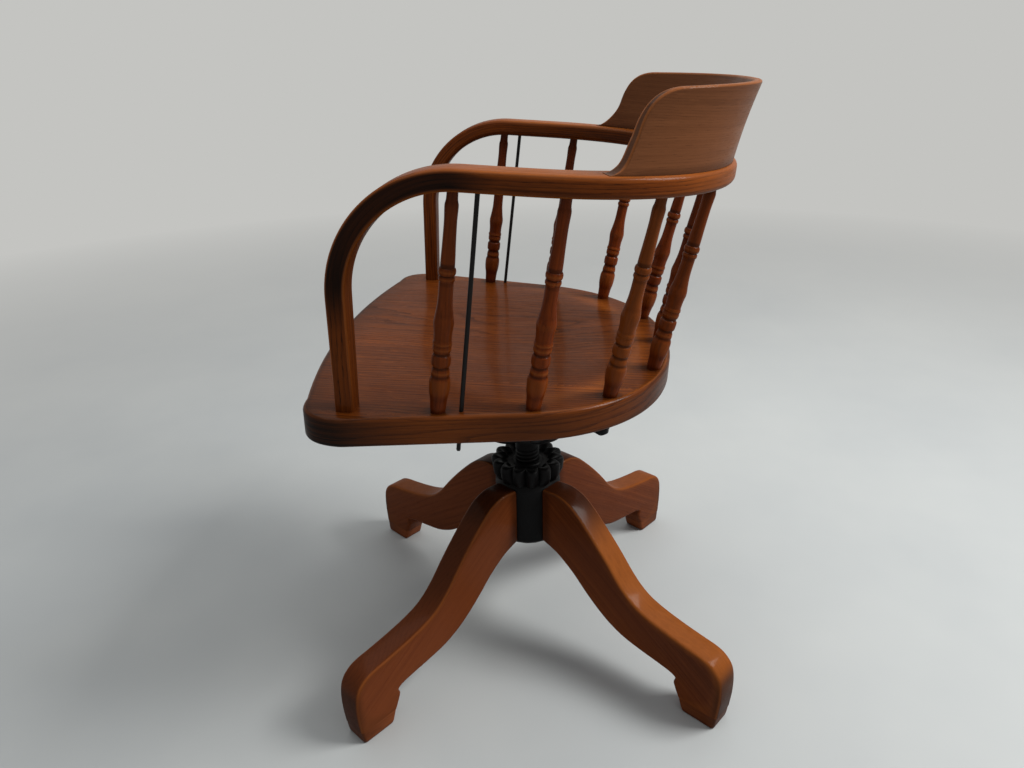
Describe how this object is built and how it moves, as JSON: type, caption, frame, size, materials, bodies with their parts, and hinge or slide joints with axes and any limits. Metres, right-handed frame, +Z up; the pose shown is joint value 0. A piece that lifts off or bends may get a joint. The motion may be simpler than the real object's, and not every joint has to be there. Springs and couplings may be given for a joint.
{
  "type": "bankers swivel chair",
  "caption": "Wooden swivel office armchair with a bent arm bow on turned spindles, a swept crest rail, a saddled seat, a handwheel height screw and four curved wooden legs.",
  "frame": {"origin": "on the floor, at the swivel axis, centred between the four feet", "axes": "+Z up along the swivel axis, -Y the way the sitter faces, +X the sitter's left side"},
  "size_m": [0.553, 0.553, 0.7716],
  "materials": {
    "oak": "satin varnish",
    "dark_oak": "worn varnish",
    "cast_iron": "black japanned",
    "dark_steel": "darkened"
  },
  "bodies": {
    "base": {"hub_casting": "cast_iron", "screw_key": "dark_steel", "hub_bottom_plate": "cast_iron", "leg_1": "oak", "leg_2": "oak", "leg_3": "oak", "leg_4": "oak", "foot_block_1": "dark_oak", "foot_block_2": "dark_oak", "foot_block_3": "dark_oak", "foot_block_4": "dark_oak", "plate_screw_1": "dark_steel", "plate_screw_2": "dark_steel", "plate_screw_3": "dark_steel", "plate_screw_4": "dark_steel"},
    "wheel": {"handwheel": "cast_iron"},
    "screw": {"height_screw": "cast_iron", "thrust_washer": "dark_steel", "top_washer": "dark_steel", "pivot_nut": "dark_steel", "retaining_pin": "dark_steel"},
    "upper": {"seat_iron": "cast_iron", "iron_screw_1": "dark_steel", "iron_screw_2": "dark_steel", "iron_screw_3": "dark_steel", "iron_screw_4": "dark_steel", "seat": "oak", "arm_bow": "oak", "crest_rail": "oak", "crest_screw_1": "dark_steel", "crest_screw_2": "dark_steel", "crest_screw_3": "dark_steel", "crest_screw_4": "dark_steel", "crest_screw_5": "dark_steel", "crest_screw_6": "dark_steel", "spindle_left_1": "oak", "spindle_left_2": "oak", "spindle_left_3": "oak", "spindle_left_4": "oak", "spindle_right_1": "oak", "spindle_right_2": "oak", "spindle_right_3": "oak", "spindle_right_4": "oak", "spindle_back": "oak", "tie_rod_left": "dark_steel", "tie_rod_right": "dark_steel", "tie_rod_washer_left": "dark_steel", "tie_rod_washer_right": "dark_steel", "tie_rod_nut_left": "dark_steel", "tie_rod_nut_right": "dark_steel"}
  },
  "joints": [
    {"name": "handwheel_turn", "type": "hinge", "parent": "base", "child": "wheel", "pos_m": [0, 0, 0.25], "axis": [0, 0, 1], "range_deg": [-3000, 1320]},
    {"name": "seat_height", "type": "slide", "parent": "base", "child": "screw", "axis": [0, 0, 1], "range_m": [-0.022, 0.05]},
    {"name": "swivel", "type": "hinge", "parent": "screw", "child": "upper", "pos_m": [0, 0, 0.33], "axis": [0, 0, 1], "continuous": true}
  ],
  "couplings": [
    {"joint": "handwheel_turn", "follows": "seat_height", "rad_per_m": -1047.2}
  ]
}
